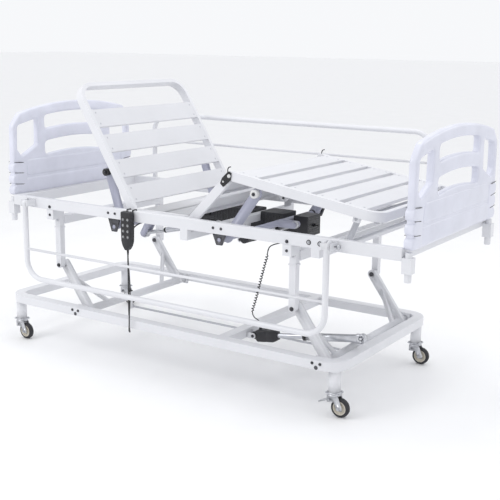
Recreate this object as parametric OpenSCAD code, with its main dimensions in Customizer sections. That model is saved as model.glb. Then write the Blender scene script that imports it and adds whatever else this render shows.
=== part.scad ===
// Adjustable hospital bed: wheeled base, parallelogram lift, four-section bed surface.
// X runs from head (-X) to foot (+X), Y across the bed, Z up from the floor. Millimetres.

/* [Base] */
// Length of the base ring
base_len = 1870; // [1800:1:1880]
// Width of the base ring
base_w = 890; // [880:1:900]
// Width of the base tube
base_tube_w = 50; // [40:1:50]
// Height of the base tube
base_tube_h = 40; // [30:1:40]
// Height of the underside of the base tube above the floor
base_z = 195; // [190:1:200]
// Diameter of the base legs
leg_d = 50; // [40:1:55]

/* [Casters] */
// Diameter of the caster wheels
wheel_d = 80; // [70:1:80]
// Width of the caster wheels
wheel_w = 25; // [20:1:25]
// Horizontal distance from swivel axis to axle
caster_trail = 30; // [20:1:35]
// Total height of a caster
caster_h = 102; // [100:1:110]

/* [Lift] */
// Horizontal reach of a lift arm at the top of its travel
lift_reach = 150; // [140:1:160]
// Vertical reach of a lift arm at the top of its travel
lift_rise = 205; // [200:1:210]
// Diameter of the torque tubes
torque_d = 38; // [30:1:40]

/* [Bed surface] */
// Height of the mattress plane at the top of the lift's travel
deck_z = 735; // [730:1:740]
// Outer width of the bed frame
frame_w = 880; // [870:1:880]
// Width of a frame rail
rail_w = 30; // [25:1:30]
// Height of a frame rail
rail_h = 48; // [45:1:50]
// Outer width of the backrest, thigh and calf sections
section_w = 780; // [760:1:780]
// Length of the backrest
back_len = 650; // [600:1:655]
// Length of the thigh section
thigh_len = 294; // [285:1:300]
// Length of the calf section
calf_len = 700; // [660:1:700]
// Backrest angle as stored
back_angle = 58; // [50:1:60]
// Thigh angle as stored
thigh_angle = 46.4; // [40:0.1:47]
// Downward slope of the calf section as stored
calf_slope = 8.6; // [6:0.1:9]

/* [Boards and side rails] */
// Width of the head and foot boards
board_w = 868; // [850:1:870]
// Thickness of the boards
board_t = 39.5; // [36:0.5:40]
// Height of the top of the boards' arch
board_top = 1165; // [1150:1:1170]
// Distance from the side rail's pivot to its outer bar
siderail_h = 360; // [340:1:365]
// Diameter of the side rail tube
siderail_d = 25; // [22:1:26]

/* [Hidden] */
$fn = 48;

// Fits
run_gap = 0.06;
body_gap = 0.5;

// Base places
base_cx = -140;
base_top = base_z + base_tube_h;
base_corner = 95;
caster_x = [base_cx - 890, base_cx + 890];
caster_y = 395;
cross_x = 205;

// Lift places
torque_z = base_z + 10;
head_torque_x = -615;
foot_torque_x = 690;
torque_end_y = 383;
arm_y = [333, 358];
post_y = [362, 392];
arm_w = 40;
pivot_d = 12;
tie_y = -50;
tie_drop = 55;
motor_y = -230;
motor_pivot = [262, 208];
lift_horn = [90, 82];
sleeve_pin = [foot_torque_x + lift_horn[0], torque_z + lift_horn[1]];
lift_pin_dist = norm(sleeve_pin - motor_pivot);

// Bed surface places
rail_y = frame_w / 2;
rail_z = deck_z - rail_h;
rail_x = [-1005, 1035];
tube_w = 20;
tube_h = 40;
plane_z = deck_z - tube_h / 2;
tube_y = section_w / 2;
back_hinge_x = -295;
thigh_hinge_x = 25;
knee = [thigh_hinge_x + thigh_len * cos(thigh_angle), plane_z + thigh_len * sin(thigh_angle)];
hinge_d = 12;
stay_at = 590;
stay_handle = [20, 0, 78];
grip_turn = -63;
slat_t = 2;
slat_lip = 14;
// Cross bars under the rails: head-side face and underside
seat_bar = [5, 640];
foot_bar = [650, 650];
bar_w = 40;
bar_h = 34;
head_bar_w = 40;

// Back and knee shafts
shaft_d = 28;
shaft_end_y = 405;
back_shaft_at = [-380, 648];
knee_shaft_at = [200, 660];
lever_len = 249;
lever_w = 45;
lever_t = 8;
lever_y = 356;
back_lever_angle = 108.5;
knee_lever_angle = 54.3;
ear_y = 23;
horn_len = 90;
back_horn_angle = 240;
back_rod_y = -150;
back_pin = back_shaft_at + horn_len * [cos(back_horn_angle), sin(back_horn_angle)];
back_anchor = [-18, 662];
knee_horn = 85;
knee_rod_y = 50;
knee_pin = knee_shaft_at + [knee_horn, 0];
knee_anchor = [0, 560];
back_tube_len = 195;
knee_tube_len = 110;
back_dist = norm(back_pin - back_anchor);
knee_dist = norm(knee_pin - knee_anchor);

// Control box
box_x = [-330, 305];
box_y = [130, 250];
box_z = [590, 686];

// Boards and side rails
board_x = rail_x[1] + body_gap;
board_z = 725;
board_post = [1055, 420];
arch_r = 1625;
slot_half = 215;
slot_h = 62;
slot_tops = [52, 179];
siderail_y = 485;
siderail_z = 713;
siderail_x = [-880, 745];
siderail_bend = 90;
mid_bar = 220;
ear_at = 20;
latch_y = siderail_y - 20;
latch_d = 6;

// Handset and its lead: points along the lead, from the handset down, under the base and up to the box
handset_x = -270;
lead_d = 6;
lead_route = [[-270, -460, 560], [-270, -460, 530], [-268, -460, 480], [-262, -461, 420],
              [-260, -462, 360], [-264, -462, 300], [-266, -463, 250], [-268, -462, 215],
              [-276, -454, 186], [-292, -430, 171], [-320, -400, 170], [-348, -370, 184],
              [-362, -354, 220], [-366, -350, 280], [-366, -350, 350], [-366, -350, 430],
              [-366, -350, 510], [-364, -348, 565], [-356, -338, 612], [-342, -310, 643],
              [-322, -260, 655], [-295, -180, 656], [-268, -90, 652], [-254, 0, 647],
              [-250, 70, 642], [-250, 120, 640]];
box_gland = [-250, 640];
// Lead of the lift motor: from the box across the bed, then coiled down to the motor
motor_lead_route = [[317, 190, 640], [330, 186, 639], [338, 165, 636], [340, 120, 630], [339, 60, 623],
                    [336, 0, 618], [330, -60, 614], [321, -120, 612], [310, -170, 610], [303, -192, 602],
                    [300, -200, 586]];
coil_d = 14;
coil_route = [[300, -200, 586], [296, -201, 560], [288, -203, 530], [278, -205, 490], [266, -208, 440],
              [254, -210, 390], [242, -212, 345], [234, -214, 316], [238, -219, 296], [252, -225, 284],
              [268, -229, 280], [280, -230, 272], [284.6, -230, 259], [286.5, -230, 246.6]];

// Sockets for a drip pole in the head cross bar
pole_y = 300;
pole_bore_d = 19;

// ---------- shared shapes ----------

// Rod along Y
module rod_y(at, d, y0, y1) {
    translate([at[0], y0, at[1]]) rotate([-90, 0, 0]) cylinder(d = d, h = y1 - y0);
}

// Rod along X
module rod_x(y, z, d, x0, x1) {
    translate([x0, y, z]) rotate([0, 90, 0]) cylinder(d = d, h = x1 - x0);
}

// Flat bar of width w with round ends between two points of an XZ plane, from y0 to y1
module link_xz(a, b, w, y0, y1) {
    l = norm(b - a);
    translate([a[0], y1, a[1]]) rotate([0, -atan2(b[1] - a[1], b[0] - a[0]), 0]) rotate([90, 0, 0])
        linear_extrude(y1 - y0) {
            translate([0, -w / 2]) square([l, w]);
            for (x = [0, l]) translate([x, 0]) circle(d = w);
        }
}

// Round strut between two points
module strut(a, b, d) {
    v = b - a;
    translate(a) rotate([0, acos(v[2] / norm(v)), atan2(v[1], v[0])]) cylinder(d = d, h = norm(v));
}

module both_sides() {
    children();
    mirror([0, 1, 0]) children();
}

// Flat quarter ring: outer radius r, band w, centred on the origin, in the +X +Y quarter
module quarter_ring(r, w) {
    intersection() {
        difference() { circle(r = r); circle(r = r - w); }
        square(r);
    }
}

// Rounded rectangle of l by w with corner radius r, made of squares and circles
module round_rect(l, w, r) {
    square([l - 2 * r, w], center = true);
    square([l, w - 2 * r], center = true);
    for (x = [-1, 1], y = [-1, 1]) translate([x * (l / 2 - r), y * (w / 2 - r)]) circle(r = r);
}

// U of flat band: two legs along +X of length l, closed with round corners at the far end
module u_band(l, w, band, r, from) {
    for (s = [-1, 1]) {
        translate([from, s > 0 ? w / 2 - band : -w / 2]) square([l - r - from, band]);
        mirror([0, s > 0 ? 0 : 1]) translate([l - r, w / 2 - r]) quarter_ring(r, band);
    }
    translate([l - band, -w / 2 + r]) square([band, w - 2 * r]);
}

// Folded slat across the bed: top sheet with two lips, from x = 0 to x = w, top at z = 0
module slat(w, half) {
    translate([0, half, 0]) rotate([90, 0, 0]) linear_extrude(2 * half) {
        translate([0, -slat_t]) square([w, slat_t]);
        translate([0, -slat_lip]) square([slat_t, slat_lip - slat_t]);
        translate([w - slat_t, -slat_lip]) square([slat_t, slat_lip - slat_t]);
    }
}

// Placers for the three hinged sections, which are drawn flat along +X from their hinge
module on_back() {
    translate([back_hinge_x, 0, plane_z]) rotate([0, back_angle, 0]) mirror([1, 0, 0]) children();
}
module on_thigh() {
    translate([thigh_hinge_x, 0, plane_z]) rotate([0, -thigh_angle, 0]) children();
}
module on_calf() {
    translate([knee[0], 0, knee[1]]) rotate([0, calf_slope, 0]) children();
}

// ---------- base ----------

module base_inside() {
    round_rect(base_len - 2 * base_tube_w, base_w - 2 * base_tube_w, base_corner - base_tube_w);
}

module base_frame() {
    color("white") {
        translate([base_cx, 0, base_z]) linear_extrude(base_tube_h) difference() {
            round_rect(base_len, base_w, base_corner);
            base_inside();
        }
        inner = base_w / 2 - base_tube_w;
        translate([cross_x - base_tube_w / 2, -inner, base_z]) cube([base_tube_w, 2 * inner, base_tube_h]);
    }
}

module base_legs() {
    color("white") for (x = caster_x) both_sides() translate([x, caster_y, 0]) {
        difference() {
            translate([0, 0, caster_h]) cylinder(d = leg_d, h = base_z - caster_h);
            translate([0, 0, caster_h - 1]) cylinder(d = 12, h = 41);
        }
    }
}

module lift_bearings() {
    y = base_w / 2 - base_tube_w;
    color("white") for (x = [head_torque_x, foot_torque_x]) both_sides() difference() {
        intersection() {
            translate([x - 30, y - 10, base_z - 12]) cube([60, 10, base_tube_h + 12]);
            translate([base_cx, 0, base_z - 12]) linear_extrude(base_tube_h + 12) base_inside();
        }
        rod_y([x, torque_z], 20 + 2 * run_gap, y - 11, y + 1);
    }
}

module lift_motor_bracket() {
    x = cross_x + base_tube_w / 2;
    color("white") for (y = [motor_y - 24, motor_y + 18]) difference() {
        union() {
            translate([x, y, motor_pivot[1] - 12]) cube([motor_pivot[0] - x, 6, 24]);
            rod_y(motor_pivot, 24, y, y + 6);
        }
        rod_y(motor_pivot, 10 + 2 * run_gap, y - 1, y + 7);
    }
}

// ---------- casters ----------

module at_caster(i, side) { translate([caster_x[i], side * caster_y, 0]) children(); }

module caster_stems() {
    color("silver") for (x = caster_x) both_sides() translate([x, caster_y, 0]) {
        translate([0, 0, caster_h - 5]) cylinder(d = 56, h = 5);
        translate([0, 0, caster_h]) cylinder(d = 12, h = 40);
    }
}

module fork() {
    axle = [caster_trail, wheel_d / 2];
    color("silver") {
        translate([0, 0, 84]) cylinder(d = 54, h = caster_h - 5 - body_gap - 84);
        for (s = [-1, 1]) translate([0, s > 0 ? 14.5 : -17.5, 0]) difference() {
            translate([0, 3, 0]) rotate([90, 0, 0]) linear_extrude(3)
                polygon([[-24, 90], [24, 90], [44, 46], [44, 30], [20, 30], [8, 62], [-24, 60]]);
            rod_y([-14, 70], 6 + 2 * run_gap, -1, 4);
        }
        rod_y(axle, 8, -21, 21);
        for (y = [-21, 17.5]) rod_y(axle, 13, y, y + 3.5);
    }
}

module wheel() {
    translate([caster_trail, 0, wheel_d / 2]) rotate([90, 0, 0]) color("dimgray") difference() {
        union() {
            cylinder(d = wheel_d, h = wheel_w - 6, center = true);
            cylinder(d = wheel_d - 6, h = wheel_w, center = true);
        }
        cylinder(d = 8 + 2 * run_gap, h = wheel_w + 2, center = true);
    }
}

module pedal() {
    color("silver") {
        rod_y([-14, 70], 6, -17.5, 17.5);
        translate([0, 13, 0]) rotate([90, 0, 0]) linear_extrude(26)
            polygon([[-12, 72], [-30, 68], [-66, 52], [-65, 48], [-28, 63], [-13, 67]]);
    }
}

// ---------- lift ----------

// Torque tube with two arms, two braces and a tie lever; drawn about its own axis
module crank(brace_y, with_horn) {
    tip = [-lift_reach, lift_rise];
    hip = 0.66 * tip;
    difference() {
        union() {
            rod_y([0, 0], torque_d, -torque_end_y, torque_end_y);
            rod_y([0, 0], 20, -torque_end_y - 11.5, torque_end_y + 11.5);
            both_sides() {
                link_xz([0, 0], tip, arm_w, arm_y[0], arm_y[1]);
                strut([0, brace_y, 0], [hip[0], arm_y[0] + 6, hip[1]], 22);
            }
            link_xz([0, 0], [0, -tie_drop], 26, tie_y - 4, tie_y + 4);
            rod_y([0, -tie_drop], 10, tie_y - 4, tie_y + 18);
            if (with_horn) {
                link_xz([0, 0], lift_horn, 26, motor_y + 18, motor_y + 28);
                rod_y(lift_horn, 10, motor_y - 12, motor_y + 18);
            }
        }
        rod_y(tip, pivot_d + 2 * run_gap, -arm_y[1] - 1, -arm_y[0] + 1);
        rod_y(tip, pivot_d + 2 * run_gap, arm_y[0] - 1, arm_y[1] + 1);
    }
}

module head_crank() { color("white") translate([head_torque_x, 0, torque_z]) crank(200, false); }
module foot_crank() { color("white") translate([foot_torque_x, 0, torque_z]) crank(266, true); }

module tie_rod() {
    z = torque_z - tie_drop;
    y = tie_y + 4 + body_gap;
    color("gainsboro") difference() {
        union() {
            rod_x(y + 5, z, 10, head_torque_x + 10, foot_torque_x - 10);
            for (x = [head_torque_x, foot_torque_x]) rod_y([x, z], 26, y, y + 10);
        }
        rod_y([head_torque_x, z], 10 + 2 * run_gap, y - 1, y + 11);
        rod_y([foot_torque_x, z], 11.5, y - 1, y + 11);
    }
}

// Lift actuator: motor and thin steel tube, drawn along +X from its pivot
module on_lift_actuator() {
    v = sleeve_pin - motor_pivot;
    translate([motor_pivot[0], motor_y, motor_pivot[1]]) rotate([0, -atan2(v[1], v[0]), 0]) children();
}

module lift_motor() {
    on_lift_actuator() {
        color("black") {
            translate([16, -26, -27]) cube([104, 52, 54]);
            translate([-14, -17, -14]) cube([30, 34, 28]);
            translate([40, 26, -2]) rotate([-90, 0, 0]) cylinder(d = 50, h = 60);
            translate([30, 0, 27]) cylinder(d = 16, h = 7);
            rotate([90, 0, 0]) cylinder(d = 10, h = 52, center = true);
        }
        color("silver") translate([120, 0, 0]) rotate([0, 90, 0]) cylinder(d = 22, h = 280);
    }
}

module lift_sleeve() {
    on_lift_actuator() color("silver") difference() {
        union() {
            translate([250, 0, 0]) rotate([0, 90, 0]) cylinder(d = 34, h = lift_pin_dist - 270);
            translate([lift_pin_dist - 24, -11, -18]) cube([30, 22, 36]);
            translate([lift_pin_dist + 4, 0, 0]) rotate([90, 0, 0]) cylinder(d = 40, h = 22, center = true);
        }
        translate([249, 0, 0]) rotate([0, 90, 0]) cylinder(d = 22 + 2 * run_gap, h = lift_pin_dist - 300);
        translate([lift_pin_dist, 0, 0]) rotate([90, 0, 0]) cylinder(d = 20, h = 24, center = true);
    }
}

module lift_pivot_pins() {
    color("dimgray") for (x = [head_torque_x, foot_torque_x]) both_sides() {
        at = [x - lift_reach, torque_z + lift_rise];
        rod_y(at, pivot_d, arm_y[0] - 2, post_y[1]);
        rod_y(at, 20, arm_y[0] - 8, arm_y[0] - 2);
    }
}

// Two posts, their cross tube and the hangers that carry the bed frame's rails
module stand(x) {
    pivot_z = torque_z + lift_rise;
    color("white") both_sides() difference() {
        union() {
            translate([x - 15, post_y[0], pivot_z]) cube([30, post_y[1] - post_y[0], rail_z - pivot_z]);
            rod_y([x, pivot_z], 30, post_y[0], post_y[1]);
            translate([x - 20, post_y[1], 640]) cube([40, rail_y - post_y[1], rail_z - 640]);
            translate([x - 20, 0, 610]) cube([40, post_y[0], 40]);
            translate([x - 19, post_y[0] - 2, 592]) cube([38, 34, 6]);
        }
        rod_y([x, pivot_z], pivot_d, post_y[0] - 1, post_y[1] + 1);
    }
}
module head_stand() { stand(head_torque_x - lift_reach); }
module foot_stand() { stand(foot_torque_x - lift_reach); }

// ---------- bed frame ----------

module bed_frame() {
    inner = rail_y - rail_w;
    color("white") difference() {
        union() {
            both_sides() translate([rail_x[0], inner, rail_z]) cube([rail_x[1] - rail_x[0], rail_w, rail_h]);
            translate([rail_x[0], -inner, rail_z]) cube([head_bar_w, 2 * inner, rail_h]);
            translate([rail_x[1] - 10, -inner, rail_z]) cube([10, 2 * inner, rail_h]);
            for (bar = [seat_bar, foot_bar]) {
                translate([bar[0], -inner, bar[1]]) cube([bar_w, 2 * inner, bar_h]);
                both_sides() translate([bar[0], inner, bar[1]]) cube([bar_w, rail_w, rail_z - bar[1]]);
            }
        }
        both_sides() translate([rail_x[0] + head_bar_w / 2, pole_y, rail_z - 1])
            cylinder(d = pole_bore_d, h = rail_h + 2);
    }
}

// Plates that hang the two shafts under the rails
module shaft_brackets() {
    color("dimgray") for (at = [back_shaft_at, knee_shaft_at]) both_sides() difference() {
        translate([at[0], rail_y - 22, at[1]]) rotate([90, 0, 0]) translate([0, 0, -8]) linear_extrude(8) {
            polygon([[-34, rail_z - at[1]], [34, rail_z - at[1]], [14, -22], [-14, -22]]);
        }
        rod_y(at, 20 + 2 * run_gap, rail_y - 30, rail_y);
    }
}

module seat_section() {
    from = back_hinge_x + 22;
    to = thigh_hinge_x - 22;
    color("white") {
        both_sides() {
            translate([from, tube_y - tube_w, deck_z - tube_h]) cube([to - from, tube_w, tube_h]);
            for (x = [from + 10, to - 50])
                translate([x, tube_y, rail_z + 8]) cube([40, rail_y - rail_w - tube_y, 32]);
            for (x = [back_hinge_x, thigh_hinge_x]) difference() {
                union() {
                    link_xz([x, plane_z], [x < 0 ? from + 40 : to - 40, plane_z], 32,
                            tube_y + 2, tube_y + 10);
                    translate([x < 0 ? from : to - 40, tube_y, plane_z - 12]) cube([40, 3, 24]);
                }
                rod_y([x, plane_z], hinge_d, tube_y - 1, tube_y + 12);
            }
        }
        for (x = [from + 14, from + 150]) translate([x, 0, deck_z - 1]) slat(112, tube_y - tube_w);
    }
}

module section_hinge_pins() {
    color("dimgray") for (x = [back_hinge_x, thigh_hinge_x]) both_sides() {
        rod_y([x, plane_z], hinge_d, tube_y - tube_w - 4, tube_y + 10);
        rod_y([x, plane_z], 19, tube_y + 10, tube_y + 16);
    }
}

// Bent tube frame of one section, from its hinge to its far end
module section_tube(l, r, closed) {
    difference() {
        union() {
            translate([0, 0, -tube_h / 2]) linear_extrude(tube_h)
                if (closed) u_band(l, section_w, tube_w, r, 0);
                else for (s = [0, 1]) mirror([0, s]) translate([0, tube_y - tube_w]) square([l, tube_w]);
            both_sides() rod_y([0, 0], tube_h, tube_y - tube_w, tube_y);
        }
        both_sides() rod_y([0, 0], hinge_d + 2 * run_gap, tube_y - tube_w - 1, tube_y + 1);
    }
}

module section_slats(first, pitch, w, count) {
    for (i = [0 : count - 1]) translate([first + i * pitch, 0, tube_h / 2 - 1]) slat(w, tube_y - tube_w);
}

module back_section() { color("white") on_back() section_tube(back_len, 90, true); }
module back_slats() { color("whitesmoke") on_back() section_slats(40, 128, 88, 4); }
module thigh_section() { color("white") on_thigh() section_tube(thigh_len - 22, 90, false); }
module thigh_slats() { color("whitesmoke") on_thigh() section_slats(30, 122, 98, 2); }
module calf_section() {
    color("white") on_calf() {
        section_tube(calf_len, 70, true);
        both_sides() difference() {
            translate([stay_at - 14, tube_y - tube_w - 16, -44]) cube([28, 16, 38]);
            rod_y([stay_at, -30], 14 + 2 * run_gap, 0, tube_y);
        }
    }
}
module calf_slats() { color("whitesmoke") on_calf() section_slats(24, 126, 98, 5); }

// Black plates and pins that join the calf section to the thigh section
module knee_hinge_plates() {
    color("black") on_thigh() both_sides() {
        link_xz([thigh_len, 0], [thigh_len - 50, 0], 34, tube_y + 1, tube_y + 5);
        translate([thigh_len - 62, tube_y, -14]) cube([36, 1, 28]);
        rod_y([thigh_len, 0], hinge_d, tube_y - tube_w - 4, tube_y + 1);
        rod_y([thigh_len, 0], 20, tube_y + 5, tube_y + 10);
    }
}

// Swinging stay under the foot end of the calf section, with its red-tipped release handle
module calf_stay() {
    color("gainsboro") on_calf() translate([stay_at, 0, -30]) rotate([0, 104, 0]) {
        both_sides() link_xz([0, 0], [112, 0], 24, tube_y - 46, tube_y - 40);
        rod_y([0, 0], 14, -tube_y + tube_w + 2, tube_y - tube_w - 2);
        rod_y([112, 0], 14, -tube_y + 40, tube_y - 40);
        strut([0, 0, 0], stay_handle, 8);
        translate(stay_handle) sphere(d = 11);
        translate(stay_handle) rotate([0, grip_turn, 0]) cylinder(d = 8, h = 14);
    }
}

// Red grip pushed over the end of the stay's handle
module stay_grip() {
    color("firebrick") on_calf() translate([stay_at, 0, -30]) rotate([0, 104, 0])
        translate(stay_handle) rotate([0, grip_turn, 0]) translate([0, 0, 14]) cylinder(d = 13, h = 24);
}

// ---------- back and knee drives ----------

module drive_shaft(at, lever_angle) {
    end = at + lever_len * [cos(lever_angle), sin(lever_angle)];
    rod_y(at, shaft_d, -shaft_end_y, shaft_end_y);
    rod_y(at, 20, -shaft_end_y - 20, shaft_end_y + 20);
    both_sides() {
        link_xz(at, end, lever_w, lever_y, lever_y + lever_t);
        rod_y(end, 10, lever_y + lever_t, lever_y + lever_t + 26);
    }
}

module back_shaft() {
    color("silver") {
        drive_shaft(back_shaft_at, back_lever_angle);
        for (y = [back_rod_y - 22, back_rod_y + 14]) link_xz(back_shaft_at, back_pin, 30, y, y + 8);
        rod_y(back_pin, 10, back_rod_y - 14, back_rod_y + 14);
    }
}

module knee_shaft() {
    color("silver") {
        drive_shaft(knee_shaft_at, knee_lever_angle);
        for (y = [knee_rod_y - 22, knee_rod_y + 14]) link_xz(knee_shaft_at, knee_pin, 30, y, y + 8);
        rod_y(knee_pin, 10, knee_rod_y - 14, knee_rod_y + 14);
    }
}

module lever_rollers(at, lever_angle, d) {
    end = at + lever_len * [cos(lever_angle), sin(lever_angle)];
    both_sides() difference() {
        rod_y(end, d, lever_y + lever_t + 2, lever_y + lever_t + 24);
        rod_y(end, 10 + 2 * run_gap, lever_y, lever_y + lever_t + 30);
    }
}
module back_rollers() { color("black") lever_rollers(back_shaft_at, back_lever_angle, 34); }
module knee_rollers() { color("white") lever_rollers(knee_shaft_at, knee_lever_angle, 36); }

// Ears that hold the rear ends of the two section actuators
module actuator_brackets() {
    color("white") for (s = [-1, 1]) {
        difference() {
            link_xz([7, back_anchor[1] - 4], back_anchor, 24,
                    back_rod_y + s * ear_y - 3, back_rod_y + s * ear_y + 3);
            rod_y(back_anchor, 10 + 2 * run_gap, -200, 0);
            translate([seat_bar[0], -400, seat_bar[1]]) cube([bar_w, 800, bar_h]);
        }
        difference() {
            link_xz(knee_anchor, [16, 632], 24,
                    knee_rod_y + s * ear_y - 3, knee_rod_y + s * ear_y + 3);
            rod_y(knee_anchor, 10 + 2 * run_gap, 0, 100);
            translate([seat_bar[0], -400, seat_bar[1]]) cube([bar_w, 800, bar_h]);
        }
    }
}

module on_actuator(anchor, pin, y) {
    v = pin - anchor;
    translate([anchor[0], y, anchor[1]]) rotate([0, -atan2(v[1], v[0]), 0]) children();
}

// Linear actuator body along +X from its rear eye
module actuator_body(tube_len, motor_side) {
    color("black") {
        translate([14, -19, -24]) cube([86, 38, 46]);
        translate([0, -12, -10]) cube([14, 24, 20]);
        rotate([90, 0, 0]) cylinder(d = 20, h = 24, center = true);
        rotate([90, 0, 0]) cylinder(d = 10, h = 2 * ear_y + 6, center = true);
        translate([58, motor_side * 19, -2]) rotate([motor_side > 0 ? -90 : 90, 0, 0])
            cylinder(d = 42, h = 62);
    }
    color("silver") translate([100, 0, 0]) rotate([0, 90, 0]) difference() {
        cylinder(d = 26, h = tube_len);
        translate([0, 0, 10]) cylinder(d = 18 + 2 * run_gap, h = tube_len);
    }
}

// Its rod, with a slotted eye round the horn's pin
module actuator_rod(from, dist, eye_d, slot_d) {
    color("silver") difference() {
        union() {
            translate([from, 0, 0]) rotate([0, 90, 0]) cylinder(d = 18, h = dist - from - slot_d / 2 - 2);
            translate([dist, 0, 0]) rotate([90, 0, 0]) cylinder(d = eye_d, h = 20, center = true);
        }
        translate([dist, 0, 0]) rotate([90, 0, 0]) cylinder(d = slot_d, h = 22, center = true);
    }
}

module on_back_actuator() {
    on_actuator(back_anchor, back_pin, back_rod_y) children();
}
module on_knee_actuator() {
    on_actuator(knee_anchor, knee_pin, knee_rod_y) children();
}
module back_actuator() { on_back_actuator() actuator_body(back_tube_len, -1); }
module back_actuator_rod() { on_back_actuator() actuator_rod(215, back_dist, 42, 29); }
module knee_actuator() { on_knee_actuator() actuator_body(knee_tube_len, -1); }
module knee_actuator_rod() { on_knee_actuator() actuator_rod(165, knee_dist, 34, 20); }

// Long control and power box, notched for the shafts and the cross bars
module control_box() {
    wide = box_y[1] - box_y[0];
    color("black") {
        difference() {
            translate([box_x[0], box_y[0], box_z[0]]) cube([box_x[1] - box_x[0], wide, box_z[1] - box_z[0]]);
            translate([seat_bar[0], box_y[0] - 1, seat_bar[1]]) cube([bar_w, wide + 2, 80]);
            translate([knee_shaft_at[0] - 28, box_y[0] - 1, knee_shaft_at[1] - 28]) cube([56, wide + 2, 80]);
        }
        rod_x(190, 640, 14, box_x[1], box_x[1] + 12);
        rod_y(box_gland, 14, box_y[0] - 10, box_y[0]);
    }
}

// ---------- boards ----------

// Outline with rounded corners: points p with radius r[i] at each corner
function corner_arc(a, b, c, r, n = 6) =
    let (u = (a - b) / norm(a - b), v = (c - b) / norm(c - b), half = acos(u * v) / 2,
         d = r / tan(half), m = (u + v) / norm(u + v), o = b + m * r / sin(half),
         s = b + u * d - o, e = b + v * d - o,
         sa = atan2(s[1], s[0]), turn = atan2(e[1], e[0]) - sa,
         t = turn > 180 ? turn - 360 : turn < -180 ? turn + 360 : turn)
    [for (i = [0 : n]) o + r * [cos(sa + t * i / n), sin(sa + t * i / n)]];
function rounded(p, r) = [for (i = [0 : len(p) - 1])
    each corner_arc(p[(i + len(p) - 1) % len(p)], p[i], p[(i + 1) % len(p)], r)];

module board_outline() {
    half = board_w / 2 - 8;
    intersection() {
        union() {
            polygon(rounded([[-half, board_z], [half, board_z], [half, 1122], [-half, 1122]], 16));
            polygon([[-half + 20, 1100], [half - 20, 1100], [half - 60, board_top], [-half + 60, board_top]]);
        }
        translate([0, board_top - arch_r]) circle(r = arch_r, $fn = 240);
    }
    for (s = [-1, 1], z = [752, 810, 868])
        translate([s * (half - 20), z]) square([56, 34], center = true);
}

// Slot across the board whose long edges follow the arch, given by their depth under its crown
module arched_slot(top, bottom) {
    intersection() {
        translate([0, board_top - arch_r]) difference() {
            circle(r = arch_r - top, $fn = 240);
            circle(r = arch_r - bottom, $fn = 240);
        }
        translate([-slot_half, board_z]) square([2 * slot_half, board_top - board_z]);
    }
}

module board_windows() {
    for (top = slot_tops) arched_slot(top, top + slot_h);
    for (s = [0, 1]) mirror([s, 0])
        polygon(rounded([[265, 1085], [398, 1062], [398, 948], [366, 915], [265, 965]], 14));
}

// Moulded board with its two posts, drawn for the foot end
module board() {
    color("ghostwhite") translate([board_x, 0, 0]) rotate([90, 0, 90]) linear_extrude(board_t)
        difference() { board_outline(); board_windows(); }
    color("white") both_sides() translate([board_post[0], board_post[1], 605])
        cylinder(d = 28, h = board_z - 605);
}

module footboard() { board(); }
module headboard() {
    translate([rail_x[0] + rail_x[1], 0, 0]) mirror([1, 0, 0]) board();
}

module board_sockets() {
    color("white") for (s = [0, 1]) translate([s ? rail_x[0] + rail_x[1] : 0, 0, 0]) mirror([s, 0, 0])
        both_sides() difference() {
            translate([rail_x[1], board_post[1] - 19, 640]) cube([39, 38, 60]);
            translate([board_post[0], board_post[1], 639]) cylinder(d = 28.2, h = 62);
        }
}

// ---------- side rails ----------

module siderail_brackets() {
    color("white") both_sides() for (x = siderail_x) {
        translate([x - 24, rail_y, siderail_z - 20]) cube([48, 10, 40]);
        difference() {
            for (s = [-1, 1]) translate([x + s * ear_at - 3, rail_y + 10, siderail_z - 14])
                cube([6, siderail_y - rail_y, 28]);
            if (x > 0) rod_x(latch_y, siderail_z, latch_d + 2 * run_gap, x + ear_at - 5, x + ear_at + 5);
        }
        rod_x(siderail_y, siderail_z, 10, x - 17, x + 17);
    }
}

// Bent tube with a thin middle bar, drawn standing up from its pivots
module siderail() {
    r = siderail_bend;
    y = siderail_y;
    top = siderail_z + siderail_h;
    color("white") difference() {
        union() {
            for (i = [0, 1]) {
                x = siderail_x[i];
                translate([x, y, siderail_z]) cylinder(d = siderail_d, h = siderail_h - r);
                rod_x(y, siderail_z, 30, x - 16, x + 16);
                translate([x + (i ? -r : r), y, top - r]) rotate([90, 0, 0]) rotate([0, 0, i ? 0 : 90])
                    rotate_extrude(angle = 90) translate([r, 0]) circle(d = siderail_d);
            }
            rod_x(y, top, siderail_d, siderail_x[0] + r, siderail_x[1] - r);
            rod_x(y, siderail_z + mid_bar, 12, siderail_x[0], siderail_x[1]);
            rod_x(y, siderail_z, 54, siderail_x[1] + 10, siderail_x[1] + 16);
        }
        for (x = siderail_x) rod_x(y, siderail_z, 10 + 2 * run_gap, x - 17, x + 17);
        for (s = [-1, 1])
            rod_x(y + s * (y - latch_y), siderail_z, latch_d + 1, siderail_x[1] + 5, siderail_x[1] + 18);
    }
}
module siderail_far() { siderail(); }
module siderail_near() {
    translate([0, 0, 2 * siderail_z]) rotate([180, 0, 0]) siderail();
}

// Plunger beside the foot-end pivot, drawn pulled out of the side rail's index disc
module latch(side) {
    x = siderail_x[1] + ear_at - 3.5;
    color("silver") {
        rod_x(side * latch_y, siderail_z, latch_d, x, x + 26);
        rod_x(side * latch_y, siderail_z, 18, x + 18, x + 30);
    }
}
module latch_near() { latch(-1); }
module latch_far() { latch(1); }

// ---------- handset and leads ----------

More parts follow.
